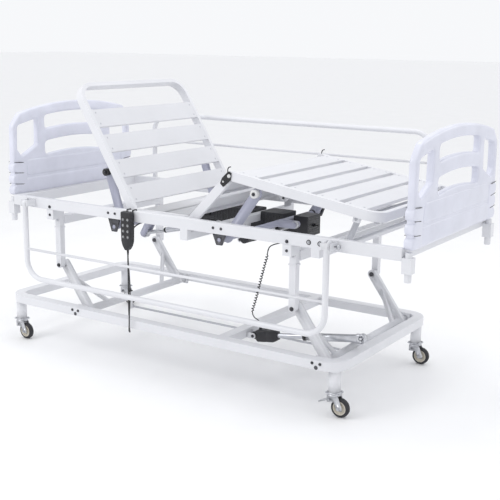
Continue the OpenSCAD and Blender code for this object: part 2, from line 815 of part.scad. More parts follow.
module handset() {
    color("black") translate([handset_x, -460, 648]) rotate([90, 0, 0])
        translate([0, 0, -14]) linear_extrude(28) round_rect(58, 176, 14);
}
module handset_keys() {
    color("gray") for (i = [0 : 3], s = [-1, 1])
        translate([handset_x + s * 13, -475.2, 700 - 26 * i]) rotate([-90, 0, 0]) cylinder(d = 13, h = 1.2);
}
module handset_hook() {
    color("black") for (s = [-1, 1]) {
        translate([handset_x + s * 16 - 4, -446, 716]) cube([8, 6, 23]);
        translate([handset_x + s * 16 - 4, -440, deck_z]) cube([8, 24, 4]);
    }
}

// Tube swept along a route; rings stand square to the route's mean direction at each point
function unit(v) = v / norm(v);
function ring_axes(p, i) =
    let (a = p[max(i - 1, 0)], b = p[min(i + 1, len(p) - 1)], t = unit(b - a),
         u = unit(cross(t, [1, 0.2, 0])), w = cross(t, u)) [u, w];
module sweep(p, d, n) {
    pts = [for (i = [0 : len(p) - 1], k = [0 : n - 1])
        let (f = ring_axes(p, i)) p[i] + d / 2 * (cos(360 * k / n) * f[0] + sin(360 * k / n) * f[1])];
    last = (len(p) - 1) * n;
    sides = [for (i = [0 : len(p) - 2], k = [0 : n - 1])
        [i * n + k, i * n + (k + 1) % n, (i + 1) * n + (k + 1) % n, (i + 1) * n + k]];
    caps = [[for (k = [n - 1 : -1 : 0]) k], [for (k = [0 : n - 1]) last + k]];
    polyhedron(points = pts, faces = concat(sides, caps));
}
module handset_lead() { color("black") sweep(lead_route, lead_d, 8); }
module motor_lead() { color("black") sweep(motor_lead_route, lead_d, 8); }
module motor_lead_coil() { color("black") sweep(coil_route, coil_d, 10); }

base_frame();
base_legs();
lift_bearings();
lift_motor_bracket();
caster_stems();
at_caster(0, -1) fork();  // fork_head_near
at_caster(0, 1) fork();  // fork_head_far
at_caster(1, -1) fork();  // fork_foot_near
at_caster(1, 1) fork();  // fork_foot_far
at_caster(0, -1) wheel();  // wheel_head_near
at_caster(0, 1) wheel();  // wheel_head_far
at_caster(1, -1) wheel();  // wheel_foot_near
at_caster(1, 1) wheel();  // wheel_foot_far
at_caster(1, -1) pedal();  // brake_pedal
head_crank();
foot_crank();
tie_rod();
lift_motor();
lift_sleeve();
lift_pivot_pins();
bed_frame();
head_stand();
foot_stand();
shaft_brackets();
seat_section();
section_hinge_pins();
back_section();
back_slats();
thigh_section();
thigh_slats();
knee_hinge_plates();
calf_section();
calf_slats();
calf_stay();
stay_grip();
back_shaft();
back_rollers();
knee_shaft();
knee_rollers();
actuator_brackets();
back_actuator();
back_actuator_rod();
knee_actuator();
knee_actuator_rod();
control_box();
headboard();
footboard();
board_sockets();
siderail_brackets();
siderail_near();
siderail_far();
latch_near();
latch_far();
handset();
handset_keys();
handset_hook();
handset_lead();
motor_lead();
motor_lead_coil();
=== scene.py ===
"""Looks of an adjustable hospital bed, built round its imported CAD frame. Lengths are in metres."""
from math import ceil, cos, pi, radians, sin, sqrt

import bmesh
import bpy
from mathutils import Matrix, Quaternion, Vector


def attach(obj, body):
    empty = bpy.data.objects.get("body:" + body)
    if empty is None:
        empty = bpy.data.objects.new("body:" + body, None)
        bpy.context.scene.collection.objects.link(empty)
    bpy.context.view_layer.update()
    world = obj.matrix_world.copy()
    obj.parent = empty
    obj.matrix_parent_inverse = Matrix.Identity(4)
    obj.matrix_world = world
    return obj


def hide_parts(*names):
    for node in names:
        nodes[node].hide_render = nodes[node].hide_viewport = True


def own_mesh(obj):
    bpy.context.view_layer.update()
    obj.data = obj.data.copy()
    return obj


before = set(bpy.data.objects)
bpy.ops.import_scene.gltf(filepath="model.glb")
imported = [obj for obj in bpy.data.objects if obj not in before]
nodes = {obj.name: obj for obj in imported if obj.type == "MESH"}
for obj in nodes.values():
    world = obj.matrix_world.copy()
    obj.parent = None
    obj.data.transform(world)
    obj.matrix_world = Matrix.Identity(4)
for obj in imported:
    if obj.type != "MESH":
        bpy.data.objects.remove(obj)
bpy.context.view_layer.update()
X, Y, Z = Vector((1, 0, 0)), Vector((0, 1, 0)), Vector((0, 0, 1))
SIDES = {"near": -1, "far": 1}
MERGE = 0.00002             # points nearer to each other than this become one


# ---------- camera ----------

def make_camera():
    """A camera at the photograph's viewing angle, in front of the foot end's near corner."""
    yaw, pitch, roll = radians(33.46), radians(12.56), radians(0.65)
    forward = Vector((-sin(yaw) * cos(pitch), cos(yaw) * cos(pitch), -sin(pitch)))
    data = bpy.data.cameras.new("camera")
    data.sensor_width = 36
    data.lens = 68.9
    camera = bpy.data.objects.new("camera", data)
    camera.rotation_mode = "QUATERNION"
    camera.rotation_quaternion = forward.to_track_quat("-Z", "Y") @ Quaternion((0, 0, 1), roll)
    camera.location = (2.464, -3.615, 1.490)
    bpy.context.scene.collection.objects.link(camera)
    bpy.context.scene.camera = camera


make_camera()


# ---------- materials ----------

class Graph:
    """Small helper for building one node material."""

    def __init__(self, name):
        self.material = bpy.data.materials.new(name)
        self.material.use_nodes = True
        self.tree = self.material.node_tree
        self.shader = self.tree.nodes["Principled BSDF"]

    def node(self, kind, **values):
        made = self.tree.nodes.new(kind)
        for key, value in values.items():
            if key in made.inputs:
                made.inputs[key].default_value = value
            else:
                setattr(made, key, value)
        return made

    def link(self, source, target):
        self.tree.links.new(source, target)

    def place(self, stretch=(1, 1, 1)):
        """Object coordinates, stretched along the axes."""
        where = self.node("ShaderNodeTexCoord")
        mapping = self.node("ShaderNodeMapping")
        mapping.inputs["Scale"].default_value = stretch
        self.link(where.outputs["Object"], mapping.inputs["Vector"])
        return mapping.outputs["Vector"]

    def noise(self, scale, detail=3.0, rough=0.55, stretch=(1, 1, 1)):
        made = self.node("ShaderNodeTexNoise", Scale=scale, Detail=detail, Roughness=rough)
        self.link(self.place(stretch), made.inputs["Vector"])
        return made.outputs["Fac"]

    def ramp(self, source, low, high, start=0.3, end=0.7):
        """The source spread between two colours."""
        made = self.node("ShaderNodeValToRGB")
        made.color_ramp.elements[0].position = start
        made.color_ramp.elements[1].position = end
        made.color_ramp.elements[0].color = (*low, 1)
        made.color_ramp.elements[1].color = (*high, 1)
        self.link(source, made.inputs["Fac"])
        return made.outputs["Color"]

    def rough(self, source, low, high):
        made = self.node("ShaderNodeMapRange")
        made.inputs["To Min"].default_value = low
        made.inputs["To Max"].default_value = high
        self.link(source, made.inputs["Value"])
        self.link(made.outputs["Result"], self.shader.inputs["Roughness"])

    def bump(self, source, depth, strength=0.5):
        made = self.node("ShaderNodeBump", Strength=strength, Distance=depth)
        self.link(source, made.inputs["Height"])
        self.link(made.outputs["Normal"], self.shader.inputs["Normal"])


def shade(colour, by):
    return tuple(max(0.0, c * by) for c in colour)


def powder_coat(name, colour):
    """Satin powder coat: orange peel, faint unevenness of tint and gloss."""
    g = Graph(name)
    tint = g.ramp(g.noise(5, 4), shade(colour, 0.955), colour)
    g.link(tint, g.shader.inputs["Base Color"])
    g.rough(g.noise(24, 2), 0.30, 0.42)
    g.bump(g.noise(420, 2), 0.00025, 0.35)
    g.shader.inputs["Coat Weight"].default_value = 0.15
    g.shader.inputs["Coat Roughness"].default_value = 0.25
    return g.material


def moulded(name, colour, grain, low, high, depth=0.0002, coat=0.0):
    """Moulded plastic or rubber with a fine spark-eroded grain."""
    g = Graph(name)
    tint = g.ramp(g.noise(9, 4), shade(colour, 0.93), shade(colour, 1.03))
    g.link(tint, g.shader.inputs["Base Color"])
    g.rough(g.noise(40, 3), low, high)
    g.bump(g.noise(grain, 3, 0.7), depth, 0.5)
    g.shader.inputs["Coat Weight"].default_value = coat
    g.shader.inputs["Coat Roughness"].default_value = 0.18
    return g.material


def metal(name, colour, low, high, stretch, grain=260):
    """Drawn or plated metal: fine lines along the stretch, cloudy gloss."""
    g = Graph(name)
    lines = g.noise(grain, 3, 0.6, stretch)
    g.link(g.ramp(g.noise(30, 3), shade(colour, 0.82), colour), g.shader.inputs["Base Color"])
    g.rough(lines, low, high)
    g.bump(lines, 0.00008, 0.4)
    g.shader.inputs["Metallic"].default_value = 1.0
    return g.material


WHITE = powder_coat("white_powder_coat", (0.74, 0.745, 0.775))
SLAT = powder_coat("white_slat_paint", (0.70, 0.705, 0.735))
GREY = powder_coat("grey_lever_paint", (0.42, 0.43, 0.53))
PALE_GREY = powder_coat("pale_grey_paint", (0.55, 0.56, 0.60))
BOARD = moulded("board_plastic", (0.70, 0.712, 0.805), 700, 0.28, 0.38, 0.00012, 0.25)
NYLON = moulded("white_nylon", (0.76, 0.76, 0.76), 600, 0.35, 0.5)
HUB = moulded("cream_hub", (0.62, 0.58, 0.50), 500, 0.35, 0.5)
BLACK = moulded("black_housing", (0.018, 0.018, 0.022), 900, 0.38, 0.55, 0.0003)
GLOSS_BLACK = moulded("black_cap", (0.012, 0.012, 0.014), 600, 0.22, 0.32)
TYRE = moulded("tyre_rubber", (0.028, 0.028, 0.032), 260, 0.6, 0.8, 0.0005)
LEAD = moulded("lead_jacket", (0.015, 0.015, 0.017), 800, 0.35, 0.5)
KEYPAD = moulded("keypad_pad", (0.17, 0.175, 0.185), 500, 0.4, 0.55)
RED = moulded("red_grip", (0.42, 0.03, 0.035), 500, 0.3, 0.42)
ZINC = metal("zinc_plate", (0.62, 0.63, 0.66), 0.22, 0.38, (1, 1, 1))
TUBE = metal("actuator_tube", (0.63, 0.64, 0.68), 0.24, 0.36, (0.06, 1, 1))
BOLT = metal("dark_bolt", (0.12, 0.12, 0.13), 0.3, 0.45, (1, 1, 1))


# ---------- mesh helpers ----------

def across(axis):
    """Two unit vectors square to an axis."""
    first = axis.cross(Z if abs(axis.z) < 0.9 else X).normalized()
    return first, axis.cross(first).normalized()


class Shape:
    """Collects closed shells in one mesh."""

    def __init__(self, place=Matrix.Identity(4)):
        self.bm = bmesh.new()
        self.place = place

    def stack(self, rings):
        """A skin through rings of points, capped at both ends."""
        made = [[self.bm.verts.new(self.place @ Vector(p)) for p in ring] for ring in rings]
        for a, b in zip(made, made[1:]):
            for i in range(len(a)):
                j = (i + 1) % len(a)
                self.bm.faces.new((a[i], a[j], b[j], b[i]))
        self.bm.faces.new(list(reversed(made[0])))
        self.bm.faces.new(made[-1])
        return self

    def lathe(self, profile, at, axis=Y, sides=32):
        """A turned solid: profile holds (distance along the axis, radius) from one end to the other."""
        at, axis = Vector(at), Vector(axis).normalized()
        u, v = across(axis)
        turns = [2 * pi * k / sides for k in range(sides)]
        self.stack([[at + axis * d + (u * cos(t) + v * sin(t)) * r for t in turns] for d, r in profile])
        return self

    def ring(self, profile, at, axis=Y, sides=48):
        """A turned ring with a hole: profile is a closed loop of (distance along the axis, radius)."""
        at, axis = Vector(at), Vector(axis).normalized()
        u, v = across(axis)
        rows = []
        for k in range(sides):
            t = 2 * pi * k / sides
            out = u * cos(t) + v * sin(t)
            rows.append([self.bm.verts.new(self.place @ (at + axis * d + out * r)) for d, r in profile])
        for a, b in zip(rows, rows[1:] + rows[:1]):
            for i in range(len(profile)):
                j = (i + 1) % len(profile)
                self.bm.faces.new((a[i], a[j], b[j], b[i]))
        return self

    def prism(self, outline, at, u, v, depth):
        """An outline in the plane of u and v, pushed out by depth along u x v."""
        at, u, v = Vector(at), Vector(u), Vector(v)
        push = u.cross(v).normalized() * depth
        base = [at + u * a + v * b for a, b in outline]
        self.stack([base, [p + push for p in base]])
        return self

    def box(self, low, high):
        x0, y0, z0 = low
        x1, y1, z1 = high
        self.prism([(0, 0), (x1 - x0, 0), (x1 - x0, y1 - y0), (0, y1 - y0)], (x0, y0, z0), X, Y, z1 - z0)
        return self

    def tube(self, points, radius, sides=12):
        """A round tube along points, with rings carried along so that they don't twist."""
        points = [Vector(p) for p in points]
        rings = []
        for p, u, v in carried(points):
            turns = [2 * pi * k / sides for k in range(sides)]
            rings.append([p + (u * cos(t) + v * sin(t)) * radius for t in turns])
        self.stack(rings)
        return self

    def hex_bolt(self, at, axis, size=0.006, washer=True):
        """Hexagon head with a washer, standing out of a face along axis."""
        axis = Vector(axis).normalized()
        if washer:
            self.lathe([(0, size * 1.25), (size * 0.25, size * 1.25)], at, axis, 20)
        self.lathe([(0, size * 0.97), (size * 0.8, size), (size * 1.0, size * 0.86)], at, axis, 6)
        self.lathe([(size * 0.9, size * 0.45), (size * 1.35, size * 0.4)], at, axis, 12)
        return self

    def piece(self, name, body, material, slot, bevel=0.0, replaces=(), angle=35):
        """Turns the shells into one piece that rides on a body."""
        bmesh.ops.recalc_face_normals(self.bm, faces=self.bm.faces[:])
        mesh = bpy.data.meshes.new(name)
        self.bm.to_mesh(mesh)
        self.bm.free()
        return add_piece(name, mesh, body, material, bevel, replaces, angle)


def add_piece(name, mesh, body, material, bevel=0.0, replaces=(), angle=35):
    made = bpy.data.objects.new(name, mesh)
    bpy.context.scene.collection.objects.link(made)
    mesh.materials.append(material)
    soften(made, bevel, angle)
    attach(made, body)
    if replaces:
        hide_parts(*replaces)
    return made


def soften(thing, bevel, angle=35):
    """Smooth shading, with rounded edges if bevel is set and crisp ones if it isn't."""
    thing.data.shade_smooth()
    if bevel:
        edge = thing.modifiers.new("rounded edges", "BEVEL")
        edge.width = bevel
        edge.segments = 3
        edge.limit_method = "ANGLE"
        edge.angle_limit = radians(angle)
        edge.harden_normals = True
    else:
        thing.data.set_sharp_from_angle(angle=radians(angle))


def carried(points):
    """Each point with two vectors square to the line there, turned as little as possible from the last."""
    out, u = [], None
    for i, p in enumerate(points):
        t = (points[min(i + 1, len(points) - 1)] - points[max(i - 1, 0)]).normalized()
        u = across(t)[0] if u is None else (u - t * u.dot(t)).normalized()
        out.append((p, u, t.cross(u)))
    return out


def smooth_line(points, step):
    """Points about a step apart on a smooth curve through the given ones."""
    p = [Vector(q) for q in points]
    p = [2 * p[0] - p[1]] + p + [2 * p[-1] - p[-2]]
    out = []
    for a, b, c, d in zip(p, p[1:], p[2:], p[3:]):
        count = max(1, ceil((c - b).length / step))
        for k in range(count):
            t = k / count
            out.append(0.5 * (2 * b + (c - a) * t + (2 * a - 5 * b + 4 * c - d) * t * t
                              + (3 * b - 3 * c + d - a) * t ** 3))
    return out + [p[-2]]


def length_of(points):
    return sum((b - a).length for a, b in zip(points, points[1:]))


# ---------- cords ----------

def cord_piece(name, line, diameter, body, replaces, **facts):
    made = Shape().tube(line, diameter / 2).piece(name, body, LEAD, "lead_jacket", 0, replaces, 60)
    return made


def handset_cord():
    """The handset's lead hangs down, passes under the base, and rises inside it to the control box."""
    route = [(-.270, -.460, .560), (-.270, -.460, .530), (-.268, -.460, .480), (-.262, -.461, .420),
             (-.260, -.462, .360), (-.264, -.462, .300), (-.266, -.463, .250), (-.268, -.462, .215),
             (-.276, -.454, .186), (-.292, -.430, .171), (-.320, -.400, .170), (-.348, -.370, .184),
             (-.362, -.354, .220), (-.366, -.350, .280), (-.366, -.350, .350), (-.366, -.350, .430),
             (-.366, -.350, .510), (-.364, -.348, .565), (-.356, -.338, .612), (-.342, -.310, .643),
             (-.322, -.260, .655), (-.295, -.180, .656), (-.268, -.090, .652), (-.254, 0, .647),
             (-.250, .070, .642), (-.250, .120, .640)]
    cord_piece("handset_cord", smooth_line(route, 0.008), 0.006, "upper_frame", ["handset_lead"],
               stiffness="limp", lay="hanging")


def motor_cord():
    """The lift motor's lead crosses from the control box to the near side."""
    route = [(.317, .190, .640), (.330, .186, .639), (.338, .165, .636), (.340, .120, .630),
             (.339, .060, .623), (.336, 0, .618), (.330, -.060, .614), (.321, -.120, .612), (.310, -.170, .610),
             (.303, -.192, .602), (.300, -.200, .586)]
    cord_piece("motor_cord", smooth_line(route, 0.008), 0.005, "upper_frame", ["motor_lead"],
               stiffness="medium", lay="hanging")


def motor_cord_coil():
    """Its coiled stretch and tail, running down towards the motor."""
    route = [(.300, -.200, .586), (.296, -.201, .560), (.288, -.203, .530), (.278, -.205, .490),
             (.266, -.208, .440), (.254, -.210, .390), (.242, -.212, .345), (.234, -.214, .316),
             (.238, -.219, .296), (.252, -.225, .284), (.268, -.229, .280), (.280, -.230, .272),
             (.2846, -.230, .259), (.2865, -.230, .2466)]
    thick, pitch, turn_radius, steps = 0.0045, 0.013, 0.0047, 14
    core = smooth_line(route, pitch / steps)
    coiled = length_of([p for p in core if p.z > 0.300])
    run, line = 0.0, []
    for i, (p, u, v) in enumerate(carried(core)):
        run += (p - core[i - 1]).length if i else 0.0
        swell = max(0.0, min(1.0, (run - 0.012) / 0.012, (coiled - run) / 0.012))
        t = 2 * pi * run / pitch
        line.append(p + (u * cos(t) + v * sin(t)) * turn_radius * swell)
    made = cord_piece("motor_cord_coil", line, thick, "upper_frame", ["motor_lead_coil"],
                      stiffness="medium", lay="taut")
    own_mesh(made)


handset_cord()
motor_cord()
motor_cord_coil()


# ---------- CAD nodes that stay ----------

def dress(names, material, bevel=0.0, as_packed=False):
    """Gives CAD nodes a material and, unless their packed shading is kept, softer edges."""
    for name in names:
        thing = nodes[name]
        thing.data.materials.clear()
        thing.data.materials.append(material)
        if as_packed:
            continue
        if "custom_normal" in thing.data.attributes:
            thing.data.attributes.remove(thing.data.attributes["custom_normal"])
        weld = thing.modifiers.new("joined faces", "WELD")
        weld.merge_threshold = MERGE
        soften(thing, bevel, 40)


dress(["base_frame", "bed_frame", "back_section", "thigh_section", "calf_section"], WHITE, 0.0025)
dress(["head_stand", "foot_stand", "board_sockets", "siderail_brackets"], WHITE, as_packed=True)
dress(["base_legs", "lift_bearings", "lift_motor_bracket", "head_crank", "foot_crank",
       "seat_section", "actuator_brackets", "siderail_near", "siderail_far"], WHITE)
dress(["back_slats", "thigh_slats", "calf_slats"], SLAT, 0.0006)
dress(["back_shaft", "knee_shaft"], GREY)
dress(["tie_rod", "calf_stay"], PALE_GREY)
dress(["caster_stems", "fork_head_near", "fork_head_far", "fork_foot_near", "fork_foot_far"], ZINC)
dress(["latch_near", "latch_far", "brake_pedal", "back_actuator_rod", "knee_actuator_rod", "lift_sleeve"], ZINC)
dress(["lift_pivot_pins", "section_hinge_pins", "shaft_brackets"], BOLT)
dress(["back_rollers"], GLOSS_BLACK)
dress(["knee_rollers"], NYLON)
dress(["handset_keys"], KEYPAD)


# ---------- head and foot boards ----------

BOARD_CX = 0.015            # middle between the two boards
BOARD_IN = 1.0205           # from there to each board's inner face
BOARD_T = 0.0395
CROWN = 1.165               # height of the boards' top at the middle
ARCH_R = 1.625
ARCH_STEPS = 14             # pieces in a window's long edge


def arch_z(y, depth):
    """Height of a line that follows the board's arch, depth below its crown."""
    r = ARCH_R - depth
    return CROWN - ARCH_R + sqrt(r * r - y * y)


def rounded(corners, radii, steps=6):
    """An outline with its corners rounded off."""
    out = []
    for i, (p, r) in enumerate(zip(corners, radii)):
        p = Vector(p)
        a = (Vector(corners[i - 1]) - p).normalized()
        b = (Vector(corners[(i + 1) % len(corners)]) - p).normalized()
        half = a.angle(b) / 2
        if r <= 0 or half > pi / 2 - 0.01:
            out.append(p)
            continue
        cut = r / (sin(half) / cos(half))
        for k in range(steps + 1):
            t = k / steps
            out.append((p + a * cut) * (1 - t) ** 2 + p * 2 * t * (1 - t) + (p + b * cut) * t * t)
    return [tuple(q) for q in out]


def arch_line(y0, y1, depth, count=ARCH_STEPS):
    """Points from y0 to y1 on the arch, depth below its crown."""
    across_board = [y0 + (y1 - y0) * k / count for k in range(count + 1)]
    return [(y, arch_z(y, depth)) for y in across_board]


def arched_window(half, top, bottom, radius=0.022):
    """A window across the board whose long edges follow the arch."""
    corners = arch_line(half, -half, top) + arch_line(-half, half, bottom)
    edge = [radius] + [0] * (ARCH_STEPS - 1) + [radius]
    return rounded(corners, edge * 2)


def mirrored(outline):
    return [(-y, z) for y, z in reversed(outline)]


def plate(outline, holes, thick, round_edge):
    """A flat plate with holes and rounded edges, standing in the Y Z plane, its middle at X = 0."""
    curve = bpy.data.curves.new("plate outline", "CURVE")
    curve.dimensions = "2D"
    curve.fill_mode = "BOTH"
    curve.extrude = thick / 2 - round_edge
    curve.bevel_depth = round_edge
    curve.bevel_resolution = 3
    curve.offset = -round_edge
    for loop in [outline] + holes:
        spline = curve.splines.new("POLY")
        spline.points.add(len(loop) - 1)
        for point, (y, z) in zip(spline.points, loop):
            point.co = (y, z, 0, 1)
        spline.use_cyclic_u = True
    drawn = bpy.data.objects.new("plate outline", curve)
    bpy.context.scene.collection.objects.link(drawn)
    mesh = bpy.data.meshes.new_from_object(drawn.evaluated_get(bpy.context.evaluated_depsgraph_get()))
    bpy.data.objects.remove(drawn)
    mesh.transform(Matrix(((0, 0, 1, 0), (1, 0, 0, 0), (0, 1, 0, 0), (0, 0, 0, 1))))
    weld = bmesh.new()
    weld.from_mesh(mesh)
    bmesh.ops.remove_doubles(weld, verts=weld.verts, dist=MERGE)
    weld.to_mesh(mesh)
    weld.free()
    return mesh


SIDE_WINDOW = rounded([(.262, 1.090), (.392, 1.062), (.396, .948), (.368, .912), (.266, .962)],
                      [.016, .024, .016, .02, .016])
UPPER_SLOT = arched_window(.212, .050, .116)
LOWER_SLOT = arched_window(.212, .177, .243)


def board_outline():
    crown = arch_line(.374, -.374, 0, 30)
    side = [(-.424, 1.062), (-.426, .890), (-.420, .726), (.420, .726), (.426, .890), (.424, 1.062)]
    return rounded(crown + side, [.03] + [0] * 29 + [.03] + [.045, .03, .014, .014, .03, .045])


def lobed_bumper(side):
    """Outline of the three rounded ribs on one side of a board, seen square to the board."""
    out = [(side * .345, .884), (side * .345, .727)]
    for z in (.752, .806, .860):
        for k in range(9):
            t = -pi / 2 + pi * k / 8
            out.append((side * (.416 + .018 * cos(t)), z + .0235 * sin(t)))
    return out if side > 0 else list(reversed(out))


def make_board(name, out):
    """One moulded board: a rounded frame with windows, raised lower panels and ribbed bumpers."""
    def put(mesh, shift):
        mesh.transform(Matrix.Translation((BOARD_CX + out * shift, 0, 0)))
        return mesh

    middle = BOARD_IN + BOARD_T / 2
    windows = [UPPER_SLOT, LOWER_SLOT, SIDE_WINDOW, mirrored(SIDE_WINDOW)]
    frame_part = put(plate(board_outline(), windows, .034, .010), middle)
    add_piece(name + "_shell", frame_part, name, BOARD, 0, [name], 40)
    panels = [rounded([(.335, .895), (-.335, .895), (-.350, .816), (.350, .816)], [.02] * 4),
              rounded([(.352, .806), (-.352, .806), (-.360, .732), (.360, .732)], [.02, .02, .012, .012])]
    for k, outline in enumerate(panels):
        add_piece(f"{name}_panel_{k}", put(plate(outline, [], BOARD_T - .0006, .006), middle), name, BOARD,
                  0, (), 40)
    for label, side in SIDES.items():
        ribs = put(plate(lobed_bumper(side), [], BOARD_T - .0002, .007), middle)
        add_piece(f"{name}_bumper_{label}", ribs, name, BOARD, 0, (), 40)
        # Thin black slivers on both board faces at the creases between the ribs: painted shade that stands in
        # for the grooves, which are not modelled
        groove_shade = Shape()
        for z in (.779, .833, .884):
            for face in (BOARD_IN - .0002, BOARD_IN + BOARD_T - .0008):
                x0 = BOARD_CX + out * face
                x1 = x0 + out * .001
                line = [(0, -.0012), (.012, -.0022), (.062, .0032), (.064, .0058), (.010, .0008)]
                groove_shade.prism([(side * y, w) for y, w in line], (min(x0, x1), side * .362, z), Y, Z, .001)
        groove_shade.piece(f"{name}_rib_groove_shade_{label}", name, GLOSS_BLACK, "black_housing", 0)
        post = Shape().lathe([(0, .0125), (.002, .014), (.112, .014), (.114, .013)],
                             (BOARD_CX + out * 1.040, side * .420, .6055), Z, 32)
        post.piece(f"{name}_post_{label}", name, WHITE, "powder_coat_white")
        tip = Shape().lathe([(0, .008), (.0005, .0124), (.012, .0137), (.0125, .0137)],
                            (BOARD_CX + out * 1.040, side * .420, .6050), Z, 32)
        tip.piece(f"{name}_post_cap_{label}", name, GLOSS_BLACK, "black_housing")


make_board("footboard", 1)
make_board("headboard", -1)


# ---------- casters ----------

CASTERS = {"head": -1.030, "foot": 0.750}   # X of each pair's swivels
CASTER_Y = 0.395                            # from the middle to each swivel


def make_wheel(end, label):
    """Black tyre round a cream hub with a dished web, a boss and a ball-race cap."""
    at = (CASTERS[end] + .030, SIDES[label] * CASTER_Y, .040)
    body = f"wheel_{end}_{label}"
    tyre = Shape().ring([(-.0125, .0290), (-.0120, .0345), (-.0085, .0388), (-.0035, .0400), (.0035, .0400),
                         (.0085, .0388), (.0120, .0345), (.0125, .0290), (.0090, .0275), (-.0090, .0275)],
                        at, Y, 64)
    tyre.piece(body + "_tyre", body, TYRE, "caster_tyre", 0, [body], 50)
    hub = Shape().ring([(-.0118, .0292), (-.0118, .0255), (-.0060, .0235), (-.0050, .0130), (-.0118, .0105),
                        (-.0124, .0060), (-.0124, .0042), (.0124, .0042), (.0124, .0060), (.0118, .0105),
                        (.0050, .0130), (.0060, .0235), (.0118, .0255), (.0118, .0292)], at, Y, 56)
    hub.piece(body + "_hub", body, HUB, "caster_tyre", 0, (), 35)


def dress_fork(end, label):
    """Ball race under the top plate and the axle's nuts, on the fork; corner bolts on the top plate."""
    x, y = CASTERS[end], SIDES[label] * CASTER_Y
    fork = f"fork_{end}_{label}"
    race = Shape().ring([(0, .0235), (.0015, .0268), (.0040, .0268), (.0055, .0240), (.0055, .020), (0, .020)],
                        (x, y, .0902), Z, 48)
    for s in (-1, 1):
        race.hex_bolt((x + .030, y + s * .0208, .040), Y * s, .0062)
        race.hex_bolt((x - .014, y + s * .0174, .070), Y * s, .0036, False)
    race.piece(fork + "_race_and_nuts", fork, ZINC, "zinc_plate", 0)
    plate_top = Shape()
    corners = rounded([(-.031, -.026), (.031, -.026), (.031, .026), (-.031, .026)], [.008] * 4)
    plate_top.prism(corners, (x, y, .0972), X, Y, .0042)
    for dx in (-.024, .024):
        for dy in (-.019, .019):
            plate_top.hex_bolt((x + dx, y + dy, .1012), Z, .0042, False)
    plate_top.piece(f"caster_plate_{end}_{label}", "base", ZINC, "zinc_plate", 0.0006)
    collar = Shape().ring([(0, .0252), (.002, .0262), (.006, .0262), (.008, .0250)], (x, y, .1880), Z, 48)
    collar.piece(f"leg_collar_{end}_{label}", "base", WHITE, "powder_coat_white")


for end in CASTERS:
    for label in SIDES:
        make_wheel(end, label)
        dress_fork(end, label)


# ---------- handset ----------

def make_handset():
    """Slim hand control with a tapering lower end, a keypad and eight domed keys."""
    x, y, z = -.270, -.460, .648
    left = [(-.029, .086), (-.0288, .010), (-.0275, -.045), (-.020, -.068), (-.007, -.0865)]
    outline = left + [(-a, b) for a, b in reversed(left)]
    outline = rounded(outline, [.007, 0, .02, .01, .004, .004, .01, .02, 0, .007])
    rings = []
    for depth, inset in ((.0138, .0030), (.0125, .0008), (.0060, 0), (-.0060, 0), (-.0125, .0008),
                         (-.0138, .0030)):
        scale_x, scale_z = 1 - inset / .029, 1 - inset / .086
        rings.append([(x + a * scale_x, y + depth, z + b * scale_z) for a, b in outline])
    body = Shape().stack(rings)
    body.piece("handset_body", "upper_frame", BLACK, "black_housing", 0, ["handset"], 40)
    pad = Shape().prism(rounded([(-.022, -.046), (.022, -.046), (.022, .048), (-.022, .048)], [.006] * 4),
                        (x, y - .0136, z + .016), X, Z, .0008)
    pad.piece("handset_keypad", "upper_frame", GLOSS_BLACK, "black_housing", .0003)
    domes = Shape()
    marks = Shape()
    for row in range(4):
        for s in (-1, 1):
            at = (x + s * .013, y - .0150, .700 - .026 * row)
            domes.lathe([(0, .0068), (.0006, .0066), (.0013, .0050), (.0016, .0025)], at, -Y, 28)
            marks.ring([(0, .0030), (.0002, .0030), (.0002, .0022), (0, .0022)],
                       (at[0], at[1] - .0015, at[2]), -Y, 20)
    domes.piece("handset_domes", "upper_frame", KEYPAD, "keypad_grey", 0)
    marks.piece("handset_key_rings", "upper_frame", NYLON, "white_roller", 0)
    sleeve = Shape().lathe([(0, .0050), (.006, .0052), (.012, .0046), (.020, .0040), (.024, .0034)],
                           (x, y, .5625), -Z, 24)
    sleeve.piece("handset_strain_relief", "upper_frame", LEAD, "lead_jacket", 0)
    for s in (-1, 1):
        cx = x + s * .016
        hook = [(-.4425, .700), (-.4425, .7374), (-.4385, .7392), (-.4180, .7392), (-.4162, .7350)]
        path = smooth_line([(cx, b, c) for b, c in hook], .004)
        arm = Shape().tube([Vector(p) - Z * .0004 for p in path], .0028, 10)
        arm.piece(f"handset_hook_arm_{'left' if s < 0 else 'right'}", "upper_frame", GLOSS_BLACK,
                  "black_housing", 0, ["handset_hook"] if s < 0 else (), 60)


make_handset()


# ---------- actuators ----------

def along(anchor, pin, y):
    """Frame at an actuator's rear eye with its X axis towards its pin."""
    (ax, az), (px, pz) = anchor, pin
    run = Vector((px - ax, 0, pz - az)).normalized()
    up = run.cross(Y)
    return Matrix(((run.x, 0, up.x, ax), (0, 1, 0, y), (run.z, 0, up.z, az), (0, 0, 0, 1)))


